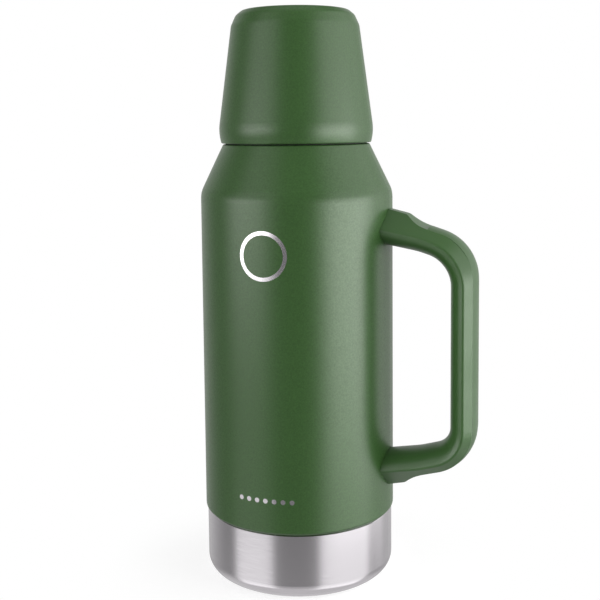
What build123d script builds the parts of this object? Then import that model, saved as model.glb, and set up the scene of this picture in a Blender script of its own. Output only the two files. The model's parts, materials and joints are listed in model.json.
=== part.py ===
from build123d import *
from math import cos, radians, tan
import os

# Vacuum flask with a side handle, a screwed cup and a push-button stopper.
# Frame: origin at the centre of the resting face, +Z up the axis, handle towards +X, front towards -Y.
# All sizes are in millimetres.

# Driving dimensions of the outside.
BODY_RADIUS = 49.0
BASE_RADIUS = 48.1
BASE_TOP = 33.4
CREASE_HEIGHT = 196.7
CREASE_ROUND = 13.0
STEP_HEIGHT = 1.0
SHOULDER_TOP = 220.85
SHOULDER_ANGLE = 25.7
TOTAL_HEIGHT = 288.0
SHEET = 0.8
SLIP = 0.05
TOUCH = 0.02

# Foot: steel base cup, its rubber pad and the closed bottom of the vacuum jacket.
PAD_RADIUS = 36.0
PAD_THICKNESS = 1.4
PAD_GROOVES = (12.0, 20.0, 28.0)
PAD_GROOVE_WIDTH = 1.5
PAD_GROOVE_DEPTH = 0.5
BASE_LIFT = 0.4
BASE_ROUND = 7.8
SLEEVE_RADIUS = BASE_RADIUS - SHEET - SLIP
SLEEVE_LOW = 9.0
JACKET_BOTTOM = 3.2
JACKET_RIM = 14.0
JACKET_ROUND = 7.0
SEAL_HOLE_RADIUS = 1.5
SEAL_HEAD_RADIUS = 3.5
SEAL_HEAD = 0.8

# Vacuum jacket and inner vessel.
VESSEL_RADIUS = 44.8
VESSEL_SHEET = 0.7
VESSEL_BOTTOM = 8.5
VESSEL_ROUND = 16.0
VESSEL_SHOULDER = 194.0
NECK_OUTER_RADIUS = 30.8
NECK_TOP = 239.2
MOUTH_BORE = 27.9
MOUTH_TOP = 240.2
RIM_RADIUS = 31.4
NECK_LOW = 219.5
FOIL_THICKNESS = 0.15
FOIL_LOW = 28.0
FOIL_HIGH = 188.0
GETTER_PLACE = 20.0
GETTER_RADIUS = 5.0
GETTER_THICKNESS = 2.0

# Threads: one start for the stopper, four quick starts for the cup.
THREAD_PITCH = 4.0
CUP_STARTS = 4
CUP_LEAD = THREAD_PITCH * CUP_STARTS
RIDGE_ROOT = 1.9
RIDGE_CREST = 1.1
RIDGE_BITE = 0.3
RIDGE_DEPTH = 1.3
THREAD_PLAY = 0.2
COLLAR_RADIUS = 33.0
COLLAR_THREAD_LOW = 226.0
CUP_THREAD_LOW = 228.0
CUP_THREAD_TURNS = 0.5
MOUTH_THREAD_LOW = 224.0
MOUTH_THREAD_TURNS = 2.75
STOPPER_THREAD_LOW = 218.0
STOPPER_THREAD_TURNS = 3.0
STOPPER_RADIUS = MOUTH_BORE - RIDGE_DEPTH - THREAD_PLAY - 0.2

# Cup.
LIP_RADIUS = 38.2
LIP_HEIGHT = 221.4
LIP_ROUND = 0.8
BELLY_RADIUS = 39.5
BELLY_HEIGHT = 227.3
BELLY_ROUND = 24.0
CROWN_RADIUS = 32.5
CROWN_HEIGHT = 280.3
CROWN_STEP = (30.2, 285.4)
TOP_FLAT_RADIUS = 27.0
RING_RADIUS = 35.6
RING_TOP = 238.0
GASKET_INNER = COLLAR_RADIUS + RIDGE_DEPTH + 0.4
GASKET_OUTER = 36.1
GASKET_LOW = SHOULDER_TOP + SLIP
CUP_GASKET_TOP = 222.2
GASKET_ROUND = 0.3
LINER_WALL = 1.9

# Stopper.
FLANGE_RADIUS = 30.6
FLANGE_LOW = 241.45
GRIP_RADIUS = 28.8
BARREL_TOP = 262.0
BARREL_BORE = 24.4
DECK_LOW = 243.0
DECK_TOP = 246.0
SKIRT_LOW = 207.0
TUBE_BORE = 7.0
TUBE_RADIUS = 8.6
STOPPER_BASE_LOW = 203.6
VALVE_HOLE = 4.5
STEM_RADIUS = 2.5
GRIP_FLUTES = 24
BUTTON_RADIUS = 13.5
BUTTON_TOP = 266.5
BUTTON_FLANGE = 15.0
BUTTON_ROOF = 264.0
BUTTON_WALL = 1.4
BUTTON_DISH_RADIUS = 60.0
BUTTON_DISH_DEPTH = 0.9
SOCKET_RADIUS = 5.0
SOCKET_LOW = 251.5
STEM_TOP = 260.0
STEM_FOOT = 1.2
SEAL_THICKNESS = 3.0
RING_LEDGE = 258.9
SPRING_RADIUS = 8.8
SPRING_WIRE = 0.6
SPRING_TURNS = 6

# Handle: a gem-shaped bar swept round a C-shaped path that stands out along +X. Its outer face is trimmed
# to a side-view outline, which also shapes the bump at each end. Points are (distance from the axis, height).
GRIP_LINE = 88.6
ARM_BEND = 66.0
ARM_START = 38.0
UPPER_ARM = (180.8, 175.8, 168.9)
LOWER_ARM = (55.7, 60.6, 67.3)
UPPER_CORNER = 24.0
LOWER_CORNER = 18.5
ARM_BEND_ROUND = 40.0
BAR_HALF_WIDTH = 12.8
BAR_INNER_DEPTH = 8.2
BAR_OUTER_DEPTH = 10.8
BAR_FLARE = 1.05
RIDGE_ROUND = 1.5
FACE_LINE = GRIP_LINE + 3.8
UPPER_BUMP = [(40.0, 190.9), (58.8, 186.2)]
UPPER_FOOT = (64.2, 181.2)
UPPER_FACE_CORNER = (FACE_LINE, 172.4)
LOWER_FACE_CORNER = (FACE_LINE, 63.5)
LOWER_FOOT = (63.6, 55.9)
LOWER_BUMP = [(57.8, 50.6), (40.0, 46.3)]
BUMP_ROUND = 4.0
FOOT_ROUND = 22.0
UPPER_FACE_ROUND = 24.0
LOWER_FACE_ROUND = 23.0
STRIP_HALF_WIDTH = 7.5
STRIP_DEPTH = 1.8
STRIP_CROWN = 0.95
STRIP_START = 70.0
STRIP_PLAY = 0.12
SADDLE_GAP = 0.05

# Handle fixings: a welded bracket and one screw in each arm.
BRACKET_SHEET = 1.2
SADDLE_HALF_WIDTH = 7.0
SADDLE_HALF_HEIGHT = 4.0
UPPER_SADDLE = 177.5
LOWER_SADDLE = 58.5
TONGUE_HALF_WIDTH = 6.0
TONGUE_THICKNESS = 3.0
TONGUE_END = 63.5
SCREW_AXIS = 57.5
SCREW_RADIUS = 1.95
SCREW_HEAD_RADIUS = 3.5
SCREW_HEAD = 2.5
SCREW_LENGTH = 7.0
POCKET_PLAY = 0.3
UPPER_TONGUE = 176.0
LOWER_TONGUE = 59.5
SCREW_GRIP = 3.4
UPPER_HEAD = UPPER_TONGUE - SCREW_GRIP - SCREW_HEAD
LOWER_HEAD = LOWER_TONGUE - SCREW_GRIP - SCREW_HEAD
SHAFT_RADIUS = 2.2
WELL_DEPTH = 20.0

# How a primitive stands on its local origin: on its bottom face, or hanging from its top face.
BOTTOM = (Align.CENTER, Align.CENTER, Align.MIN)
TOP = (Align.CENTER, Align.CENTER, Align.MAX)


def turned(points, rounds=None):
    """Solid of revolution about Z from (radius, height) corners; rounds maps corner numbers to radii."""
    face = make_face(Polyline(*points, close=True))
    for number, radius in (rounds or {}).items():
        corner = face.vertices().sort_by_distance(points[number])[0]
        face = fillet(corner, radius)
    return revolve(Plane.XZ * face, Axis.Z)


def tube(inner, outer, low, high):
    """Plain ring between two radii and two heights."""
    return turned([(inner, low), (outer, low), (outer, high), (inner, high)])


def rounded_ring(inner, outer, low, high):
    """Ring with four rounded edges, as a moulded gasket has."""
    corners = [(inner, low), (outer, low), (outer, high), (inner, high)]
    return turned(corners, {number: GASKET_ROUND for number in range(4)})


def ridges(root, side, lead, turns, low, starts=1):
    """Helical thread ridges; side is 1 for ridges that stand outwards and -1 for inwards."""
    spine = Helix(pitch=lead, height=lead * turns, radius=root)
    buried = root - side * RIDGE_BITE
    crest = root + side * RIDGE_DEPTH
    half_root = RIDGE_ROOT / 2
    half_crest = RIDGE_CREST / 2
    corners = [(buried, -half_root), (crest, -half_crest), (crest, half_crest), (buried, half_root)]
    outline = make_face(Polyline(*corners, close=True))
    ridge = sweep(Plane.XZ * outline, path=spine, is_frenet=True)
    ridge = Pos(0, 0, low) * ridge
    return [Rot(0, 0, number * 360 / starts) * ridge for number in range(starts)]


def shoulder_radius(height, inset=0.0):
    """Radius of the conical shoulder at a height, or of a surface parallel to it and set in."""
    slope = tan(radians(SHOULDER_ANGLE))
    return BODY_RADIUS - inset / cos(radians(SHOULDER_ANGLE)) - slope * (height - CREASE_HEIGHT)


# ---- Vacuum jacket ----

def outer_shell():
    """Painted steel wall: a sleeve inside the base cup, the cylinder, the shoulder and the neck."""
    step_low = BASE_TOP + 0.3
    step_high = step_low + STEP_HEIGHT
    inner_radius = BODY_RADIUS - SHEET
    crease_inner = CREASE_HEIGHT - SHEET * tan(radians(SHOULDER_ANGLE / 2))
    ledge_inner = SHOULDER_TOP - SHEET
    points = [
        (SLEEVE_RADIUS, SLEEVE_LOW),
        (SLEEVE_RADIUS, step_low),
        (BASE_RADIUS, step_low),
        (BODY_RADIUS, step_high),
        (BODY_RADIUS, CREASE_HEIGHT),
        (shoulder_radius(SHOULDER_TOP), SHOULDER_TOP),
        (NECK_OUTER_RADIUS, SHOULDER_TOP),
        (NECK_OUTER_RADIUS, NECK_TOP),
        (NECK_OUTER_RADIUS - SHEET, NECK_TOP),
        (NECK_OUTER_RADIUS - SHEET, ledge_inner),
        (shoulder_radius(ledge_inner, SHEET), ledge_inner),
        (inner_radius, crease_inner),
        (inner_radius, step_high),
        (SLEEVE_RADIUS - SHEET, step_low + SHEET),
        (SLEEVE_RADIUS - SHEET, SLEEVE_LOW),
    ]
    rounds = {2: 0.3, 3: 1.0, 4: CREASE_ROUND, 5: 0.8, 6: 0.6, 11: CREASE_ROUND - SHEET, 12: 0.5}
    return turned(points, rounds)


def base_cup():
    """Bare brushed steel cup pressed over the sleeve, with a shallow recess for the pad."""
    recess = PAD_RADIUS + 0.2
    inner = BASE_RADIUS - SHEET
    points = [
        (0, PAD_THICKNESS),
        (recess, PAD_THICKNESS),
        (recess, BASE_LIFT),
        (BASE_RADIUS, BASE_LIFT),
        (BASE_RADIUS, BASE_TOP - 0.3),
        (BASE_RADIUS - 0.3, BASE_TOP),
        (inner, BASE_TOP),
        (inner, BASE_LIFT + SHEET),
        (recess + SHEET, BASE_LIFT + SHEET),
        (recess + SHEET, PAD_THICKNESS + SHEET),
        (0, PAD_THICKNESS + SHEET),
    ]
    return turned(points, {3: BASE_ROUND, 7: BASE_ROUND - SHEET})


def base_pad():
    """Silicone disc that the flask stands on, with concentric grooves in its face."""
    top = PAD_THICKNESS - TOUCH
    pad = turned([(0, 0), (PAD_RADIUS, 0), (PAD_RADIUS, top), (0, top)], {1: 0.5})
    for radius in PAD_GROOVES:
        pad -= tube(radius, radius + PAD_GROOVE_WIDTH, -1, PAD_GROOVE_DEPTH)
    return pad


def jacket_bottom():
    """Pressed steel dish that closes the vacuum space, with the evacuation hole in its centre."""
    rim = SLEEVE_RADIUS - SHEET - SLIP
    floor = JACKET_BOTTOM + SHEET
    points = [
        (SEAL_HOLE_RADIUS, JACKET_BOTTOM),
        (rim, JACKET_BOTTOM),
        (rim, JACKET_RIM),
        (rim - SHEET, JACKET_RIM),
        (rim - SHEET, floor),
        (SEAL_HOLE_RADIUS, floor),
    ]
    return turned(points, {1: JACKET_ROUND, 4: JACKET_ROUND - SHEET})


def vacuum_seal():
    """Solder button that closes the evacuation hole."""
    shank = SEAL_HOLE_RADIUS - SLIP
    head_low = JACKET_BOTTOM - SEAL_HEAD
    head_high = JACKET_BOTTOM - TOUCH
    shank_high = JACKET_BOTTOM + SHEET
    head = [(0, head_low), (SEAL_HEAD_RADIUS, head_low), (SEAL_HEAD_RADIUS, head_high), (shank, head_high)]
    return turned([*head, (shank, shank_high), (0, shank_high)])


def getter():
    """Getter pellet under the vessel, which keeps the vacuum hard."""
    return Pos(GETTER_PLACE, 0, VESSEL_BOTTOM - TOUCH) * Cylinder(GETTER_RADIUS, GETTER_THICKNESS, align=TOP)


def inner_vessel():
    """Steel liner that holds the drink, with a rolled rim and a thread for the stopper in its neck."""
    wall = VESSEL_SHEET
    outer_neck = MOUTH_BORE + wall
    points = [
        (0, VESSEL_BOTTOM),
        (VESSEL_RADIUS, VESSEL_BOTTOM),
        (VESSEL_RADIUS, VESSEL_SHOULDER),
        (outer_neck, NECK_LOW),
        (outer_neck, NECK_TOP + TOUCH),
        (RIM_RADIUS, NECK_TOP + TOUCH),
        (RIM_RADIUS, MOUTH_TOP),
        (MOUTH_BORE, MOUTH_TOP),
        (MOUTH_BORE, NECK_LOW - 0.2),
        (VESSEL_RADIUS - wall, VESSEL_SHOULDER - 0.4),
        (VESSEL_RADIUS - wall, VESSEL_BOTTOM + wall),
        (0, VESSEL_BOTTOM + wall),
    ]
    rounds = {1: VESSEL_ROUND, 2: 8.0, 3: 6.0, 6: 0.4, 7: 0.5, 8: 6.7, 9: 7.3, 10: VESSEL_ROUND - wall}
    vessel = turned(points, rounds)
    return vessel + ridges(MOUTH_BORE, -1, THREAD_PITCH, MOUTH_THREAD_TURNS, MOUTH_THREAD_LOW)


def radiation_shield():
    """Copper foil wrapped round the vessel inside the vacuum."""
    inner = VESSEL_RADIUS + 0.1
    return tube(inner, inner + FOIL_THICKNESS, FOIL_LOW, FOIL_HIGH)


def neck_collar():
    """Moulded collar on the neck, with the four-start thread that holds the cup."""
    inner = NECK_OUTER_RADIUS + SLIP
    low = SHOULDER_TOP + 0.65
    high = NECK_TOP - 0.05
    points = [(inner, low), (COLLAR_RADIUS, low), (COLLAR_RADIUS, high), (inner, high)]
    collar = turned(points, {2: 0.8})
    return collar + ridges(COLLAR_RADIUS, 1, CUP_LEAD, CUP_THREAD_TURNS, COLLAR_THREAD_LOW, CUP_STARTS)


# ---- Handle ----

def swept(outline, path):
    """Sweep an (outwards, across) outline along a path that lies in the XZ plane."""
    tangent = path % 0
    outwards = Vector(0, -1, 0).cross(tangent)
    return sweep(Plane(origin=path @ 0, x_dir=outwards, z_dir=tangent) * outline, path=path)


def block(low, high):
    """Axis-aligned block between two opposite corners."""
    size = [top - bottom for bottom, top in zip(low, high)]
    return Pos(*low) * Box(*size, align=(Align.MIN, Align.MIN, Align.MIN))


def gem_outline():
    """Section of the bar: a rounded inner side and two flanks that close in outwards."""
    half = BAR_HALF_WIDTH
    depth = BAR_OUTER_DEPTH
    tip = half - BAR_FLARE * depth
    inner = EllipticalCenterArc((0, 0), BAR_INNER_DEPTH, half, start_angle=90, arc_size=180)
    flanks = Polyline((0, half), (depth, tip), (depth, -tip), (0, -half))
    outline = make_face([inner, flanks])
    for side in (1, -1):
        ridge = outline.vertices().sort_by_distance((0, side * half))[0]
        outline = fillet(ridge, RIDGE_ROUND)
    return outline


def gem_bar():
    """Bar along the handle's widest edge, from inside the body, out and down the grip, and back."""
    corners = [
        (ARM_START, UPPER_ARM[0]),
        (ARM_BEND, UPPER_ARM[1]),
        (GRIP_LINE, UPPER_ARM[2]),
        (GRIP_LINE, LOWER_ARM[2]),
        (ARM_BEND, LOWER_ARM[1]),
        (ARM_START, LOWER_ARM[0]),
    ]
    rounds = (ARM_BEND_ROUND, UPPER_CORNER, LOWER_CORNER, ARM_BEND_ROUND)
    return swept(gem_outline(), Plane.XZ * FilletPolyline(*corners, radius=rounds))


def side_view():
    """Everything inside the handle's outer contour: bump, step, arm, grip, arm, step and bump."""
    points = [*UPPER_BUMP, UPPER_FOOT, UPPER_FACE_CORNER, LOWER_FACE_CORNER, LOWER_FOOT, *LOWER_BUMP]
    rounds = (BUMP_ROUND, FOOT_ROUND, UPPER_FACE_ROUND, LOWER_FACE_ROUND, FOOT_ROUND, BUMP_ROUND)
    contour = FilletPolyline(*points, radius=rounds)
    back = Line(LOWER_BUMP[-1], UPPER_BUMP[0])
    return extrude(Plane.XZ * make_face([contour, back]), BAR_HALF_WIDTH + 1, both=True)


def along_face(outline):
    """Sweep an outline along the outer face, and keep it where the cover strip runs."""
    corners = (UPPER_FOOT, UPPER_FACE_CORNER, LOWER_FACE_CORNER, LOWER_FOOT)
    path = Plane.XZ * FilletPolyline(*corners, radius=(UPPER_FACE_ROUND, LOWER_FACE_ROUND))
    return swept(outline, path)


def past(start):
    """All the space further out than a distance from the axis."""
    return block((start, -30, 0), (120, 30, 250))


def bracket_pocket(saddle_middle, tongue_low, head_low):
    """Room inside an arm for a bracket, its screw and the screw's head, which is reached from below."""
    saddle_outer = BODY_RADIUS + SADDLE_GAP + BRACKET_SHEET + POCKET_PLAY
    wide = SADDLE_HALF_WIDTH + POCKET_PLAY
    plate = Cylinder(saddle_outer, 2 * (SADDLE_HALF_HEIGHT + POCKET_PLAY))
    plate = Pos(0, 0, saddle_middle) * plate & block((30, -wide, 0), (70, wide, 250))
    slot_half = TONGUE_HALF_WIDTH + POCKET_PLAY
    slot_low = (40, -slot_half, tongue_low - SLIP)
    slot_high = (TONGUE_END + POCKET_PLAY, slot_half, tongue_low + TONGUE_THICKNESS + POCKET_PLAY)
    slot = block(slot_low, slot_high)
    shaft_length = SCREW_HEAD + SCREW_LENGTH + 0.5
    shaft = Pos(SCREW_AXIS, 0, head_low) * Cylinder(SHAFT_RADIUS, shaft_length, align=BOTTOM)
    well = Cylinder(SCREW_HEAD_RADIUS + POCKET_PLAY, WELL_DEPTH, align=TOP)
    return plate + slot + shaft + Pos(SCREW_AXIS, 0, head_low + SCREW_HEAD) * well


def handle_body():
    """Moulded handle with its two bumps, its slot for the cover strip and its bracket pockets."""
    handle = gem_bar() & side_view()
    handle -= Pos(0, 0, 120) * Cylinder(BODY_RADIUS + SADDLE_GAP, 300)
    half = STRIP_HALF_WIDTH + STRIP_PLAY
    floor = STRIP_DEPTH + STRIP_PLAY
    slot = Pos((1 - floor) / 2, 0) * Rectangle(1 + floor, 2 * half)
    handle -= along_face(slot) & past(STRIP_START - STRIP_PLAY)
    handle -= bracket_pocket(UPPER_SADDLE, UPPER_TONGUE, UPPER_HEAD)
    handle -= bracket_pocket(LOWER_SADDLE, LOWER_TONGUE, LOWER_HEAD)
    return handle


def handle_cover():
    """Crowned strip let into the handle's outer face from arm to arm."""
    half = STRIP_HALF_WIDTH
    crown = ThreePointArc((0, half), (STRIP_CROWN, 0), (0, -half))
    floor = Polyline((0, -half), (-STRIP_DEPTH, -half), (-STRIP_DEPTH, half), (0, half))
    return along_face(make_face([crown, floor])) & past(STRIP_START)


def bracket(saddle_middle, tongue_low):
    """Steel saddle welded to the wall, with a tapped tongue that reaches into the arm."""
    inner = BODY_RADIUS + TOUCH
    outer = inner + BRACKET_SHEET
    saddle = tube(inner, outer, saddle_middle - SADDLE_HALF_HEIGHT, saddle_middle + SADDLE_HALF_HEIGHT)
    saddle &= block((30, -SADDLE_HALF_WIDTH, 0), (70, SADDLE_HALF_WIDTH, 250))
    tongue_start = (45, -TONGUE_HALF_WIDTH, tongue_low)
    tongue = block(tongue_start, (TONGUE_END, TONGUE_HALF_WIDTH, tongue_low + TONGUE_THICKNESS))
    tongue -= Pos(0, 0, tongue_low) * Cylinder(inner + 0.1, 40)
    tongue -= Pos(SCREW_AXIS, 0, tongue_low) * Cylinder(SCREW_RADIUS + 0.03, 20)
    return saddle + tongue


def upper_bracket():
    """Bracket in the upper arm."""
    return bracket(UPPER_SADDLE, UPPER_TONGUE)


def lower_bracket():
    """Bracket in the lower arm."""
    return bracket(LOWER_SADDLE, LOWER_TONGUE)


def screw(head_low):
    """Socket-head screw pointing up, with the foot of its head at the given height."""
    head = Cylinder(SCREW_HEAD_RADIUS, SCREW_HEAD, align=BOTTOM)
    head = chamfer(head.edges().group_by(Axis.Z)[0], 0.4)
    head -= extrude(RegularPolygon(1.7, 6), 1.6)
    shank = Pos(0, 0, SCREW_HEAD) * Cylinder(SCREW_RADIUS, SCREW_LENGTH, align=BOTTOM)
    return Pos(SCREW_AXIS, 0, head_low - TOUCH) * (head + shank)


def handle_screws():
    """The two screws that hold the handle to its brackets."""
    return Compound(children=[screw(UPPER_HEAD), screw(LOWER_HEAD)])


# ---- Cup ----

def cup_form(inset):
    """Solid that fills the cup to a surface set in from its outside."""
    side_low = (BELLY_RADIUS - inset, BELLY_HEIGHT)
    side_high = (CROWN_RADIUS - inset, CROWN_HEIGHT)
    step = (CROWN_STEP[0] - inset * 0.85, CROWN_STEP[1] - inset * 0.5)
    top = TOTAL_HEIGHT - inset
    points = [
        (0, LIP_HEIGHT),
        (LIP_RADIUS - inset, LIP_HEIGHT),
        side_low,
        side_high,
        step,
        (TOP_FLAT_RADIUS - inset * 0.4, top),
        (0, top),
    ]
    rounds = {2: BELLY_ROUND - inset, 3: 6.0, 4: 4.0, 5: 3.0}
    if inset == 0:
        rounds[1] = LIP_ROUND
    return turned(points, rounds)


def cup_outer():
    """Painted steel cup shell."""
    return cup_form(0) - cup_form(SHEET)


def cup_liner():
    """Moulded food-safe liner inside the steel cup."""
    low = CUP_GASKET_TOP + 0.1
    bore = RING_RADIUS + SLIP
    top = TOTAL_HEIGHT - LINER_WALL
    points = [
        (0, LIP_HEIGHT - 1),
        (bore, LIP_HEIGHT - 1),
        (bore, RING_TOP + 1),
        (CROWN_RADIUS - LINER_WALL, CROWN_HEIGHT - 1),
        (TOP_FLAT_RADIUS - 1, top),
        (0, top),
    ]
    cavity = turned(points, {3: 4.0, 4: 3.0})
    below = Pos(0, 0, low) * Cylinder(60, 20, align=TOP)
    return cup_form(SHEET + SLIP) - cavity - below


def cup_thread_ring():
    """Threaded ring inside the cup's mouth."""
    root = COLLAR_RADIUS + RIDGE_DEPTH + THREAD_PLAY
    ring = tube(root, RING_RADIUS, CUP_GASKET_TOP + TOUCH, RING_TOP)
    return ring + ridges(root, -1, CUP_LEAD, CUP_THREAD_TURNS, CUP_THREAD_LOW, CUP_STARTS)


def cup_gasket():
    """Silicone ring between the cup and the shoulder."""
    return rounded_ring(GASKET_INNER, GASKET_OUTER, GASKET_LOW, CUP_GASKET_TOP)


# ---- Stopper ----

def stopper_body():
    """Threaded stopper moulding: skirt, flange, fluted barrel, deck and the tube the stem runs in."""
    points = [
        (STOPPER_RADIUS, SKIRT_LOW),
        (STOPPER_RADIUS, FLANGE_LOW),
        (FLANGE_RADIUS, FLANGE_LOW),
        (FLANGE_RADIUS, FLANGE_LOW + 3.5),
        (GRIP_RADIUS, FLANGE_LOW + 5.3),
        (GRIP_RADIUS, BARREL_TOP),
        (GRIP_RADIUS - 2.4, BARREL_TOP),
        (GRIP_RADIUS - 2.4, RING_LEDGE),
        (BARREL_BORE, RING_LEDGE),
        (BARREL_BORE, DECK_TOP),
        (TUBE_BORE, DECK_TOP),
        (TUBE_BORE, SKIRT_LOW),
        (TUBE_RADIUS, SKIRT_LOW),
        (TUBE_RADIUS, DECK_LOW),
        (BARREL_BORE, DECK_LOW),
        (BARREL_BORE, SKIRT_LOW),
    ]
    body = turned(points, {2: 0.5, 3: 0.8, 5: 1.0, 13: 1.0, 14: 1.0})
    body += ridges(STOPPER_RADIUS, 1, THREAD_PITCH, STOPPER_THREAD_TURNS, STOPPER_THREAD_LOW)
    flute = Cylinder(1.3, BARREL_TOP - FLANGE_LOW - 8, align=BOTTOM)
    flute = Pos(GRIP_RADIUS + 0.5, 0, FLANGE_LOW + 6.2) * flute
    spout = block((15, -7, DECK_TOP + 0.5), (40, 7, DECK_TOP + 7))
    vent = block((-40, -3, DECK_TOP + 0.5), (-15, 3, DECK_TOP + 5))
    flutes = [Rot(0, 0, (number + 0.5) * 360 / GRIP_FLUTES) * flute for number in range(GRIP_FLUTES)]
    return body - flutes - spout - vent


def stopper_foam():
    """Insulating foam ring inside the stopper's skirt."""
    return tube(TUBE_RADIUS + 0.1, BARREL_BORE - 0.1, SKIRT_LOW + 2.5, DECK_LOW - 1.1)


def stopper_base():
    """Disc welded under the skirt, with the valve seat in its centre."""
    seat_top = SKIRT_LOW - SLIP
    spigot_top = SKIRT_LOW + 2.4
    points = [
        (VALVE_HOLE, STOPPER_BASE_LOW),
        (STOPPER_RADIUS, STOPPER_BASE_LOW),
        (STOPPER_RADIUS, seat_top),
        (BARREL_BORE - 0.1, seat_top),
        (BARREL_BORE - 0.1, spigot_top),
        (TUBE_RADIUS + 0.1, spigot_top),
        (TUBE_RADIUS + 0.1, seat_top),
        (VALVE_HOLE, seat_top),
    ]
    return turned(points, {1: 1.2})


def stopper_top_ring():
    """Cover ring on the barrel, with the collar that guides the button."""
    bore = BUTTON_RADIUS + SLIP
    low = RING_LEDGE + 0.05
    points = [
        (bore, low - 3),
        (bore + 1.6, low - 3),
        (bore + 1.6, low),
        (GRIP_RADIUS - 2.45, low),
        (GRIP_RADIUS - 2.45, BARREL_TOP + 0.4),
        (bore, BARREL_TOP + 0.4),
    ]
    return turned(points, {4: 0.6, 5: 0.4})


def stopper_gasket():
    """Silicone ring between the stopper's flange and the mouth's rim."""
    return rounded_ring(MOUTH_BORE + 0.3, FLANGE_RADIUS - 0.2, MOUTH_TOP + TOUCH, FLANGE_LOW - TOUCH)


def push_button():
    """Dished button with a retaining flange below and a socket for the stem inside."""
    flange_low = RING_LEDGE - 5.5
    flange_top = RING_LEDGE - 4.0
    skirt_bore = BUTTON_RADIUS - BUTTON_WALL
    socket_bore = STEM_RADIUS + TOUCH
    socket_top = STEM_TOP + TOUCH
    points = [
        (socket_bore, SOCKET_LOW),
        (SOCKET_RADIUS, SOCKET_LOW),
        (SOCKET_RADIUS, BUTTON_ROOF),
        (skirt_bore, BUTTON_ROOF),
        (skirt_bore, flange_low),
        (BUTTON_FLANGE, flange_low),
        (BUTTON_FLANGE, flange_top),
        (BUTTON_RADIUS, flange_top),
        (BUTTON_RADIUS, BUTTON_TOP),
        (0, BUTTON_TOP),
        (0, socket_top),
        (socket_bore, socket_top),
    ]
    dish = Pos(0, 0, BUTTON_TOP + BUTTON_DISH_RADIUS - BUTTON_DISH_DEPTH) * Sphere(BUTTON_DISH_RADIUS)
    return turned(points, {8: 1.0}) - dish


def valve_stem():
    """Rod from the button to the valve, with a foot that carries the seal."""
    foot_top = STOPPER_BASE_LOW - SEAL_THICKNESS
    foot_low = foot_top - STEM_FOOT
    foot = [(0, foot_low), (SOCKET_RADIUS, foot_low), (SOCKET_RADIUS, foot_top), (STEM_RADIUS, foot_top)]
    return turned([*foot, (STEM_RADIUS, STEM_TOP), (0, STEM_TOP)], {1: 0.5})


def valve_seal():
    """Silicone washer that closes the valve seat from below."""
    low = STOPPER_BASE_LOW - SEAL_THICKNESS + TOUCH
    high = STOPPER_BASE_LOW - TOUCH
    bore = STEM_RADIUS + TOUCH
    return turned([(bore, low), (6.0, low), (8.0, high - 0.8), (7.2, high), (bore, high)])


def button_spring():
    """Coil spring under the button, around the stem."""
    height = BUTTON_ROOF - DECK_TOP - 2 * SPRING_WIRE - 0.1
    spine = Helix(pitch=height / SPRING_TURNS, height=height, radius=SPRING_RADIUS)
    wire = Plane(origin=spine @ 0, z_dir=spine % 0) * Circle(SPRING_WIRE)
    return Pos(0, 0, DECK_TOP + SPRING_WIRE + 0.05) * sweep(wire, path=spine, is_frenet=True)


SUB_PARTS = [
    outer_shell, base_cup, base_pad, jacket_bottom, vacuum_seal, getter, inner_vessel, radiation_shield,
    neck_collar, handle_body, handle_cover, upper_bracket, lower_bracket, handle_screws,
    cup_outer, cup_liner, cup_thread_ring, cup_gasket,
    stopper_body, stopper_foam, stopper_base, stopper_top_ring, stopper_gasket,
    push_button, valve_stem, valve_seal, button_spring,
]

os.makedirs("parts", exist_ok=True)
for sub_part in SUB_PARTS:
    export_step(sub_part(), f"parts/{sub_part.__name__}.step")
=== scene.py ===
import json
from math import cos, pi, radians, sin, tau

import bmesh
import bpy
from mathutils import Matrix, Vector


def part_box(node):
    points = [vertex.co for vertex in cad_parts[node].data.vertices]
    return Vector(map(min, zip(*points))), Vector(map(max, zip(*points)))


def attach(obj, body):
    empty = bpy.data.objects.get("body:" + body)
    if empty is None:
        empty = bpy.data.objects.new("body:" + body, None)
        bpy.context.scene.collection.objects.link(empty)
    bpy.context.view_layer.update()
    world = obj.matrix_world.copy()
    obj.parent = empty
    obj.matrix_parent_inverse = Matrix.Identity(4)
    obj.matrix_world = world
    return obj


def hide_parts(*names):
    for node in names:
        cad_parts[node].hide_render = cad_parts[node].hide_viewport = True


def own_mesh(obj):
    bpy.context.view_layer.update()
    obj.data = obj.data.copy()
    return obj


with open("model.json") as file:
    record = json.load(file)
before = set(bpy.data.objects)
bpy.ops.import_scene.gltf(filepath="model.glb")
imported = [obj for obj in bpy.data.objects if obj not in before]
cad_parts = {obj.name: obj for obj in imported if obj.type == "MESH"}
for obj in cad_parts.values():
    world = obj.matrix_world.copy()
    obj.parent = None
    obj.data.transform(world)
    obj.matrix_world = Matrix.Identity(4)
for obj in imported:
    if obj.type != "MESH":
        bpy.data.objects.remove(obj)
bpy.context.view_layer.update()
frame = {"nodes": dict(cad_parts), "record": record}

MM = 0.001

# ---- Places taken from the CAD frame ----

BODY_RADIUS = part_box("outer_shell")[1].y
BASE_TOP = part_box("base_cup")[1].z
CUP_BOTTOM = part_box("cup_outer")[0].z

# ---- Camera: 20 degrees round from the front, level with the cup, looking slightly down ----

CAMERA_TURN = radians(19.8)
CAMERA_DISTANCE = 0.52167
CAMERA_HEIGHT = 0.2328
CAMERA_PITCH = 0.09
CAMERA_YAW = 0.003
CAMERA_ROLL = -0.0097
LENS_MM = 61.06
LENS_SHIFT = -0.1466


# ---- Small helpers ----

def new_tree(name):
    """A new material and its empty node tree."""
    made = bpy.data.materials.new(name)
    made.use_nodes = True
    made.node_tree.nodes.clear()
    return made, made.node_tree


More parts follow.
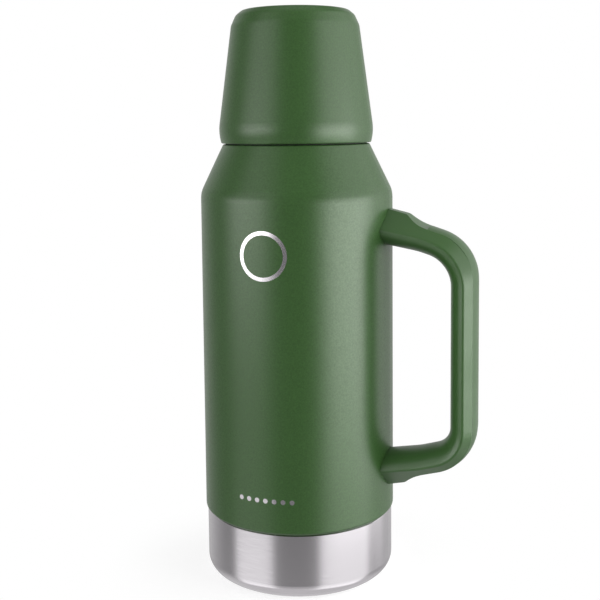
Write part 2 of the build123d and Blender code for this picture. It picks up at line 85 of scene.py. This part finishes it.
def node(tree, kind, settings=None, inputs=None):
    """Add a shader node. An input is a plain value or another node's output socket."""
    made = tree.nodes.new("ShaderNode" + kind)
    for key, value in (settings or {}).items():
        setattr(made, key, value)
    for key, value in (inputs or {}).items():
        if isinstance(value, bpy.types.NodeSocket):
            tree.links.new(value, made.inputs[key])
        else:
            made.inputs[key].default_value = value
    return made


def math_node(tree, operation, *values):
    """A math node on two or three values or sockets."""
    made = node(tree, "Math", {"operation": operation}, dict(enumerate(values)))
    return made.outputs[0]


def rgb(red, green, blue):
    """An opaque colour in linear light."""
    return (red, green, blue, 1.0)


def object_place(tree):
    """Position on the piece in metres, in the frame's axes."""
    return node(tree, "TexCoord").outputs["Object"]


def noise(tree, place, size, detail=2.0, roughness=0.5):
    """Noise value whose grains are about the given size in metres."""
    inputs = {"Vector": place, "Scale": 1.0 / size, "Detail": detail, "Roughness": roughness}
    return node(tree, "TexNoise", {}, inputs).outputs[0]


def spread(tree, value, low, high):
    """Map a 0 to 1 noise value to a range, from its usual middle part."""
    settings = {"clamp": True}
    inputs = {"Value": value, "From Min": 0.3, "From Max": 0.7, "To Min": low, "To Max": high}
    return node(tree, "MapRange", settings, inputs).outputs[0]


def blend_colours(tree, factor, first, second):
    """Mix two colours by a factor."""
    made = node(tree, "Mix", {"data_type": "RGBA"})
    for socket, value in ((made.inputs[0], factor), (made.inputs[6], first), (made.inputs[7], second)):
        if isinstance(value, bpy.types.NodeSocket):
            tree.links.new(value, socket)
        else:
            socket.default_value = value
    return made.outputs[2]


def bump(tree, height, distance, strength=1.0, normal=None):
    """Bump from a height value, with its real depth in metres."""
    inputs = {"Height": height, "Distance": distance, "Strength": strength}
    if normal is not None:
        inputs["Normal"] = normal
    return node(tree, "Bump", {}, inputs).outputs[0]


def finish_surface(tree, inputs):
    """Principled surface wired to the material's output."""
    surface = node(tree, "BsdfPrincipled", {}, inputs)
    out = node(tree, "OutputMaterial")
    tree.links.new(surface.outputs[0], out.inputs["Surface"])
    return surface


# ---- Materials ----

def powder_coat(name, base, dark, roughness=0.34):
    """Fine matt powder coat: a sand-like grain over a soft orange peel."""
    made, tree = new_tree(name)
    place = object_place(tree)
    grain = noise(tree, place, 0.8 * MM, 3.0, 0.65)
    peel = noise(tree, place, 2.4 * MM, 2.0)
    cloud = noise(tree, place, 45 * MM, 2.0)
    colour = blend_colours(tree, spread(tree, grain, 0.0, 1.0), base, dark)
    colour = blend_colours(tree, spread(tree, cloud, 0.0, 0.12), colour, dark)
    rough = math_node(tree, "ADD", spread(tree, grain, -0.06, 0.06), roughness)
    normal = bump(tree, peel, 0.02 * MM, 0.15)
    normal = bump(tree, grain, 0.02 * MM, 0.7, normal)
    finish_surface(tree, {"Base Color": colour, "Roughness": rough, "Normal": normal})
    return made


def moulded_plastic(name, base, dark, roughness=0.36, grain_size=0.25 * MM, depth=0.008 * MM):
    """Satin moulded plastic with a very fine spark-eroded grain and faint flow marks."""
    made, tree = new_tree(name)
    place = object_place(tree)
    grain = noise(tree, place, grain_size, 2.0)
    flow = noise(tree, place, 14 * MM, 3.0)
    colour = blend_colours(tree, spread(tree, flow, 0.0, 0.25), base, dark)
    rough = math_node(tree, "ADD", spread(tree, flow, -0.03, 0.03), roughness)
    rough = math_node(tree, "ADD", spread(tree, grain, -0.03, 0.03), rough)
    normal = bump(tree, grain, depth, 0.6)
    finish_surface(tree, {"Base Color": colour, "Roughness": rough, "Normal": normal})
    return made


def turned_place(tree, around, along):
    """Coordinates that stretch a pattern round the axis: (angle, height, radius) at two scales."""
    place = node(tree, "SeparateXYZ", {}, {"Vector": object_place(tree)})
    x, y, z = place.outputs
    angle = math_node(tree, "ARCTAN2", y, x)
    radius = math_node(tree, "SQRT", math_node(tree, "ADD", math_node(tree, "MULTIPLY", x, x),
                                               math_node(tree, "MULTIPLY", y, y)))
    inputs = {
        "X": math_node(tree, "MULTIPLY", angle, around),
        "Y": math_node(tree, "MULTIPLY", z, along),
        "Z": math_node(tree, "MULTIPLY", radius, along),
    }
    return node(tree, "CombineXYZ", {}, inputs).outputs[0]


FINE_SHARE = 0.85


def brushed_steel(name, tint=rgb(0.61, 0.585, 0.61), roughness=0.18, depth=0.002 * MM):
    """Steel brushed round the axis: fine lines round the piece that stretch its reflections upwards."""
    made, tree = new_tree(name)
    fine = node(tree, "TexNoise", {}, {"Vector": turned_place(tree, 5.0, 9000.0), "Scale": 1.0, "Detail": 3.0,
                                        "Roughness": 0.65}).outputs[0]
    coarse = node(tree, "TexNoise", {}, {"Vector": turned_place(tree, 1.2, 2500.0), "Scale": 1.0,
                                          "Detail": 2.0}).outputs[0]
    fine_part = math_node(tree, "MULTIPLY", fine, FINE_SHARE)
    coarse_part = math_node(tree, "MULTIPLY", coarse, 1 - FINE_SHARE)
    lines = math_node(tree, "ADD", fine_part, coarse_part)
    darker = tuple(value * 0.86 for value in tint[:3]) + (1.0,)
    colour = blend_colours(tree, spread(tree, lines, 0.0, 1.0), tint, darker)
    rough = math_node(tree, "ADD", spread(tree, lines, -0.05, 0.05), roughness)
    normal = bump(tree, lines, depth, 0.6)
    tangent = node(tree, "Tangent", {"direction_type": "RADIAL", "axis": "Z"}).outputs[0]
    finish_surface(tree, {"Base Color": colour, "Metallic": 1.0, "Roughness": rough, "Normal": normal,
                          "Anisotropic": 0.75, "Tangent": tangent})
    return made


def plain_metal(name, tint, roughness, speckle):
    """Metal with a mottled finish, for small hidden parts."""
    made, tree = new_tree(name)
    place = object_place(tree)
    mottle = noise(tree, place, speckle, 3.0)
    darker = tuple(value * 0.75 for value in tint[:3]) + (1.0,)
    colour = blend_colours(tree, spread(tree, mottle, 0.0, 1.0), tint, darker)
    rough = math_node(tree, "ADD", spread(tree, mottle, -0.06, 0.06), roughness)
    finish_surface(tree, {"Base Color": colour, "Metallic": 1.0, "Roughness": rough,
                          "Normal": bump(tree, mottle, 0.01 * MM, 0.5)})
    return made


def soft_rubber(name, base, roughness, see_through=0.0):
    """Silicone with a faint dusty mottle."""
    made, tree = new_tree(name)
    place = object_place(tree)
    mottle = noise(tree, place, 1.2 * MM, 3.0)
    darker = tuple(value * 0.8 for value in base[:3]) + (1.0,)
    colour = blend_colours(tree, spread(tree, mottle, 0.0, 0.6), base, darker)
    rough = math_node(tree, "ADD", spread(tree, mottle, -0.05, 0.05), roughness)
    finish_surface(tree, {"Base Color": colour, "Roughness": rough, "Transmission Weight": see_through,
                          "Normal": bump(tree, mottle, 0.02 * MM, 0.4)})
    return made


GREEN = rgb(0.0505, 0.131, 0.032)
GREEN_DARK = rgb(0.029, 0.082, 0.0165)
HANDLE_GREEN = rgb(0.051, 0.128, 0.034)
HANDLE_GREEN_DARK = rgb(0.044, 0.113, 0.029)
BLACK = rgb(0.018, 0.018, 0.019)
BLACK_DARK = rgb(0.012, 0.012, 0.013)

MATERIALS = {
    "green_powder_coat": powder_coat("green_powder_coat", GREEN, GREEN_DARK),
    "brushed_base_steel": brushed_steel("brushed_base_steel"),
    "drawn_steel": brushed_steel("drawn_steel", rgb(0.55, 0.55, 0.54), 0.38),
    "screw_steel": plain_metal("screw_steel", rgb(0.62, 0.62, 0.62), 0.25, 0.6 * MM),
    "copper_foil": plain_metal("copper_foil", rgb(0.85, 0.42, 0.28), 0.28, 3 * MM),
    "solder": plain_metal("solder", rgb(0.40, 0.40, 0.42), 0.5, 0.8 * MM),
    "getter_grey": plain_metal("getter_grey", rgb(0.16, 0.16, 0.17), 0.7, 0.4 * MM),
    "black_silicone": soft_rubber("black_silicone", rgb(0.02, 0.02, 0.02), 0.6),
    "clear_silicone": soft_rubber("clear_silicone", rgb(0.62, 0.62, 0.60), 0.45, 0.15),
    "green_handle_plastic": moulded_plastic("green_handle_plastic", HANDLE_GREEN, HANDLE_GREEN_DARK),
    "green_button_plastic": moulded_plastic("green_button_plastic", HANDLE_GREEN, HANDLE_GREEN_DARK, 0.34),
    "black_polypropylene": moulded_plastic("black_polypropylene", BLACK, BLACK_DARK, 0.42),
    "white_foam": soft_rubber("white_foam", rgb(0.72, 0.70, 0.65), 0.9),
}

for part in frame["record"]["subparts"]:
    cad_object = frame["nodes"][part["node"]]
    cad_object.data.materials.clear()
    cad_object.data.materials.append(MATERIALS[part["material_slot"]])


# ---- Marks: a plain ring and a row of dots on the front, where bare steel shows through the paint ----

MARK_PROUD = 0.04 * MM
MARK_SUNK = 0.10 * MM
RING_BELOW_CUP = 52.4 * MM
RING_RADIUS = 12.0 * MM
RING_STROKE = 1.9 * MM
DOTS_ABOVE_BASE = 16.9 * MM
DOT_RADIUS = 1.2 * MM
DOT_PITCH = 4.4 * MM
DOT_COUNT = 7


def on_wall(across, height, proud):
    """Point on the painted wall's front, from arc length to the right, height and distance proud of it."""
    turn = across / BODY_RADIUS
    radius = BODY_RADIUS + proud
    return Vector((radius * sin(turn), -radius * cos(turn), height))


def join_loops(form, first, second):
    """Quads between two closed loops of vertices."""
    for number in range(len(first)):
        after = (number + 1) % len(first)
        form.faces.new((first[number], first[after], second[after], second[number]))


def finish_piece(form, name, slot, body):
    """Turn a form into a smooth object with a slot's material, riding on a body."""
    bmesh.ops.recalc_face_normals(form, faces=form.faces)
    mesh = bpy.data.meshes.new(name)
    form.to_mesh(mesh)
    form.free()
    mesh.shade_smooth()
    mesh.set_sharp_from_angle(angle=radians(40))
    mesh.materials.append(MATERIALS[slot])
    made = bpy.data.objects.new(name, mesh)
    bpy.context.scene.collection.objects.link(made)
    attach(made, body)
    return made


def bent_ring(name, across, height, inner, outer, segments=96, steps=3):
    """Thin ring that follows the painted wall; an inner radius of 0 makes a full disc."""
    form = bmesh.new()
    loops = []
    for proud, order in ((MARK_PROUD, 1), (-MARK_SUNK, -1)):
        side = []
        for step in range(steps + 1):
            radius = inner + (outer - inner) * step / steps
            loop = []
            for number in range(segments):
                angle = tau * number / segments
                place = on_wall(across + radius * cos(angle), height + radius * sin(angle), proud)
                loop.append(form.verts.new(place))
            side.append(loop)
        loops.extend(side[::order])
    for number, loop in enumerate(loops):
        join_loops(form, loop, loops[(number + 1) % len(loops)])
    bmesh.ops.remove_doubles(form, verts=form.verts, dist=0.001 * MM)
    finish_piece(form, name, "brushed_base_steel", "flask")


def add_marks():
    """The ring under the cup and the row of dots above the steel base."""
    ring_height = CUP_BOTTOM - RING_BELOW_CUP
    dot_height = BASE_TOP + DOTS_ABOVE_BASE
    bent_ring("front_ring_mark", 0, ring_height, RING_RADIUS - RING_STROKE, RING_RADIUS)
    for number in range(DOT_COUNT):
        place = (number - (DOT_COUNT - 1) / 2) * DOT_PITCH
        bent_ring(f"front_dot_{number + 1}", place, dot_height, 0, DOT_RADIUS, segments=32, steps=2)


add_marks()


# ---- Button spring: a wound coil in the CAD spring's place, which is hidden ----

SPRING_WIRE = 0.6 * MM
SPRING_TURNS = 6
STEPS_PER_TURN = 36
WIRE_SIDES = 12


def coil_spring(name, low, high, coil_radius):
    """Round wire wound up the flask's axis between two heights."""
    form = bmesh.new()
    steps = SPRING_TURNS * STEPS_PER_TURN
    rise = (high - low - 2 * SPRING_WIRE) / steps
    rings = []
    for step in range(steps + 1):
        turn = tau * step / STEPS_PER_TURN
        height = low + SPRING_WIRE + rise * step
        ring = []
        for side in range(WIRE_SIDES):
            angle = tau * side / WIRE_SIDES
            radius = coil_radius + SPRING_WIRE * cos(angle)
            level = height + SPRING_WIRE * sin(angle)
            ring.append(form.verts.new((radius * cos(turn), radius * sin(turn), level)))
        rings.append(ring)
    for first, second in zip(rings, rings[1:]):
        join_loops(form, first, second)
    form.faces.new(rings[0])
    form.faces.new(rings[-1])
    return finish_piece(form, name, "screw_steel", "stopper")


def add_button_spring():
    """Coil spring in the CAD spring's place; the CAD spring is hidden."""
    low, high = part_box("button_spring")
    spring = coil_spring("coil_spring", low.z, high.z, high.x - SPRING_WIRE)
    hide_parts("button_spring")
    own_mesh(spring)


add_button_spring()


# ---- Studio: camera, soft light fields all round, pale floor and white backdrop ----

def camera_axes():
    """The camera's right, up and forward directions."""
    right = Vector((cos(CAMERA_YAW), -sin(CAMERA_YAW), 0))
    level = Vector((sin(CAMERA_YAW), cos(CAMERA_YAW), 0))
    forward = level * cos(CAMERA_PITCH) - Vector((0, 0, 1)) * sin(CAMERA_PITCH)
    up = right.cross(forward)
    rolled_right = right * cos(CAMERA_ROLL) + up * sin(CAMERA_ROLL)
    rolled_up = up * cos(CAMERA_ROLL) - right * sin(CAMERA_ROLL)
    turn = Matrix.Rotation(CAMERA_TURN, 3, "Z")
    return turn @ rolled_right, turn @ rolled_up, turn @ forward


def add_camera():
    """The main viewpoint. The lens shift is for this place only, so it is off wherever else it stands."""
    data = bpy.data.cameras.new("camera")
    data.lens = LENS_MM
    data.sensor_width = 36
    data.clip_start = 0.01
    data.clip_end = 100
    made = bpy.data.objects.new("camera", data)
    bpy.context.scene.collection.objects.link(made)
    right, up, forward = camera_axes()
    place = Vector((CAMERA_DISTANCE * sin(CAMERA_TURN), -CAMERA_DISTANCE * cos(CAMERA_TURN), CAMERA_HEIGHT))
    made.matrix_world = Matrix.Translation(place) @ Matrix((right, up, -forward)).transposed().to_4x4()
    driver = data.driver_add("shift_y").driver
    height = driver.variables.new()
    height.name = "height"
    height.type = "TRANSFORMS"
    height.targets[0].id = made
    height.targets[0].transform_type = "LOC_Z"
    height.targets[0].transform_space = "WORLD_SPACE"
    driver.expression = f"{LENS_SHIFT} * (abs(height - {CAMERA_HEIGHT}) < 0.0005)"
    bpy.context.scene.camera = made


def window(tree, value, middle, half_width, soft):
    """1 where a value is within half_width of the middle, fading to 0 over the soft distance outside."""
    away = math_node(tree, "ABSOLUTE", math_node(tree, "SUBTRACT", value, middle))
    settings = {"interpolation_type": "SMOOTHSTEP", "clamp": True}
    inputs = {"Value": away, "From Min": half_width, "From Max": half_width + soft, "To Min": 1.0,
              "To Max": 0.0}
    return node(tree, "MapRange", settings, inputs).outputs[0]


# Each light field: azimuth from the camera (degrees, + to its right), half width, softness, elevation,
# half height, softness and brightness.
LIGHT_FIELDS = [
    ("right box", 62, 15, 30, -5, 8, 10, 7.5),
    ("left box", -60, 12, 25, 0, 4, 8, 5.5),
    ("backdrop", 170, 40, 60, 5, 20, 20, 0.5),
    ("upper right", 65, 15, 20, 30, 5, 25, 2.0),
    ("upper left", -55, 15, 20, 30, 10, 15, 1.3),
    ("side panel", 105, 10, 15, 15, 30, 12, 1.1),
    ("low left", -60, 22, 8, -32, 11, 5, 0.9),
    ("low right", 58, 30, 8, -35, 14, 6, 0.92),
    ("overhead", 0, 180, 10, 90, 20, 20, 0.4),
    ("floor bounce", 0, 180, 10, -90, 40, 35, 0.6),
]
AMBIENT = 0.22


def add_studio_light():
    """World light: white for the camera, and soft light fields round the object for everything else."""
    world = bpy.data.worlds.new("studio")
    bpy.context.scene.world = world
    world.use_nodes = True
    tree = world.node_tree
    tree.nodes.clear()
    direction = node(tree, "TexCoord").outputs["Generated"]
    turned = node(tree, "VectorRotate", {"rotation_type": "Z_AXIS"},
                  {"Vector": direction, "Angle": -CAMERA_TURN})
    x, y, z = node(tree, "SeparateXYZ", {}, {"Vector": turned.outputs[0]}).outputs
    azimuth = math_node(tree, "ARCTAN2", x, math_node(tree, "MULTIPLY", y, -1.0))
    elevation = math_node(tree, "ARCSINE", z)
    total = AMBIENT
    for _, middle, half_width, soft_side, rise, half_height, soft_end, brightness in LIGHT_FIELDS:
        offset = math_node(tree, "SUBTRACT", azimuth, radians(middle))
        wrapped = math_node(tree, "WRAP", offset, pi, -pi)
        across = window(tree, wrapped, 0.0, radians(half_width), radians(soft_side))
        upright = window(tree, elevation, radians(rise), radians(half_height), radians(soft_end))
        field = math_node(tree, "MULTIPLY", math_node(tree, "MULTIPLY", across, upright), brightness)
        total = math_node(tree, "ADD", total, field)
    seen = node(tree, "LightPath").outputs["Is Camera Ray"]
    light = node(tree, "Background", {}, {"Color": rgb(1, 1, 1), "Strength": total})
    backdrop = node(tree, "Background", {}, {"Color": rgb(1, 1, 1), "Strength": 1.0})
    mixed = node(tree, "MixShader", {}, {0: seen, 1: light.outputs[0], 2: backdrop.outputs[0]})
    out = node(tree, "OutputWorld")
    tree.links.new(mixed.outputs[0], out.inputs["Surface"])


FLOOR_RADIUS = 4.0
FLOOR_GAP = 0.2 * MM
FLOOR_LIFT = 0.72
FADE_START = 50 * MM
FADE_END = 110 * MM


def add_floor():
    """A wide pale floor that fades into the white backdrop away from the object, and is clear from below."""
    mesh = bpy.data.meshes.new("floor")
    form = bmesh.new()
    bmesh.ops.create_circle(form, cap_ends=True, segments=96, radius=FLOOR_RADIUS)
    form.to_mesh(mesh)
    form.free()
    floor = bpy.data.objects.new("floor", mesh)
    floor.location.z = -FLOOR_GAP
    floor.visible_glossy = False
    bpy.context.scene.collection.objects.link(floor)
    made, tree = new_tree("pale_floor")
    x, y, _ = node(tree, "SeparateXYZ", {}, {"Vector": object_place(tree)}).outputs
    away = math_node(tree, "SQRT", math_node(tree, "ADD", math_node(tree, "MULTIPLY", x, x),
                                             math_node(tree, "MULTIPLY", y, y)))
    fade = node(tree, "MapRange", {"interpolation_type": "SMOOTHSTEP"},
                {"Value": away, "From Min": FADE_START, "From Max": FADE_END}).outputs[0]
    paper = node(tree, "BsdfDiffuse", {}, {"Color": rgb(0.45, 0.45, 0.45)})
    lift = node(tree, "Emission", {}, {"Color": rgb(1, 1, 1), "Strength": FLOOR_LIFT})
    lifted = node(tree, "AddShader", {}, {0: paper.outputs[0], 1: lift.outputs[0]})
    glow = node(tree, "Emission", {}, {"Color": rgb(1, 1, 1), "Strength": 1.0})
    seen = node(tree, "MixShader", {}, {0: fade, 1: lifted.outputs[0], 2: glow.outputs[0]})
    bounce = node(tree, "BsdfDiffuse", {}, {"Color": rgb(0.3, 0.3, 0.3)})
    camera_ray = node(tree, "LightPath").outputs["Is Camera Ray"]
    mixed = node(tree, "MixShader", {}, {0: camera_ray, 1: bounce.outputs[0], 2: seen.outputs[0]})
    from_below = node(tree, "NewGeometry").outputs["Backfacing"]
    clear = node(tree, "BsdfTransparent")
    sided = node(tree, "MixShader", {}, {0: from_below, 1: mixed.outputs[0], 2: clear.outputs[0]})
    out = node(tree, "OutputMaterial")
    tree.links.new(sided.outputs[0], out.inputs["Surface"])
    mesh.materials.append(made)


add_camera()
add_studio_light()
add_floor()
bpy.context.scene.view_settings.view_transform = "Standard"
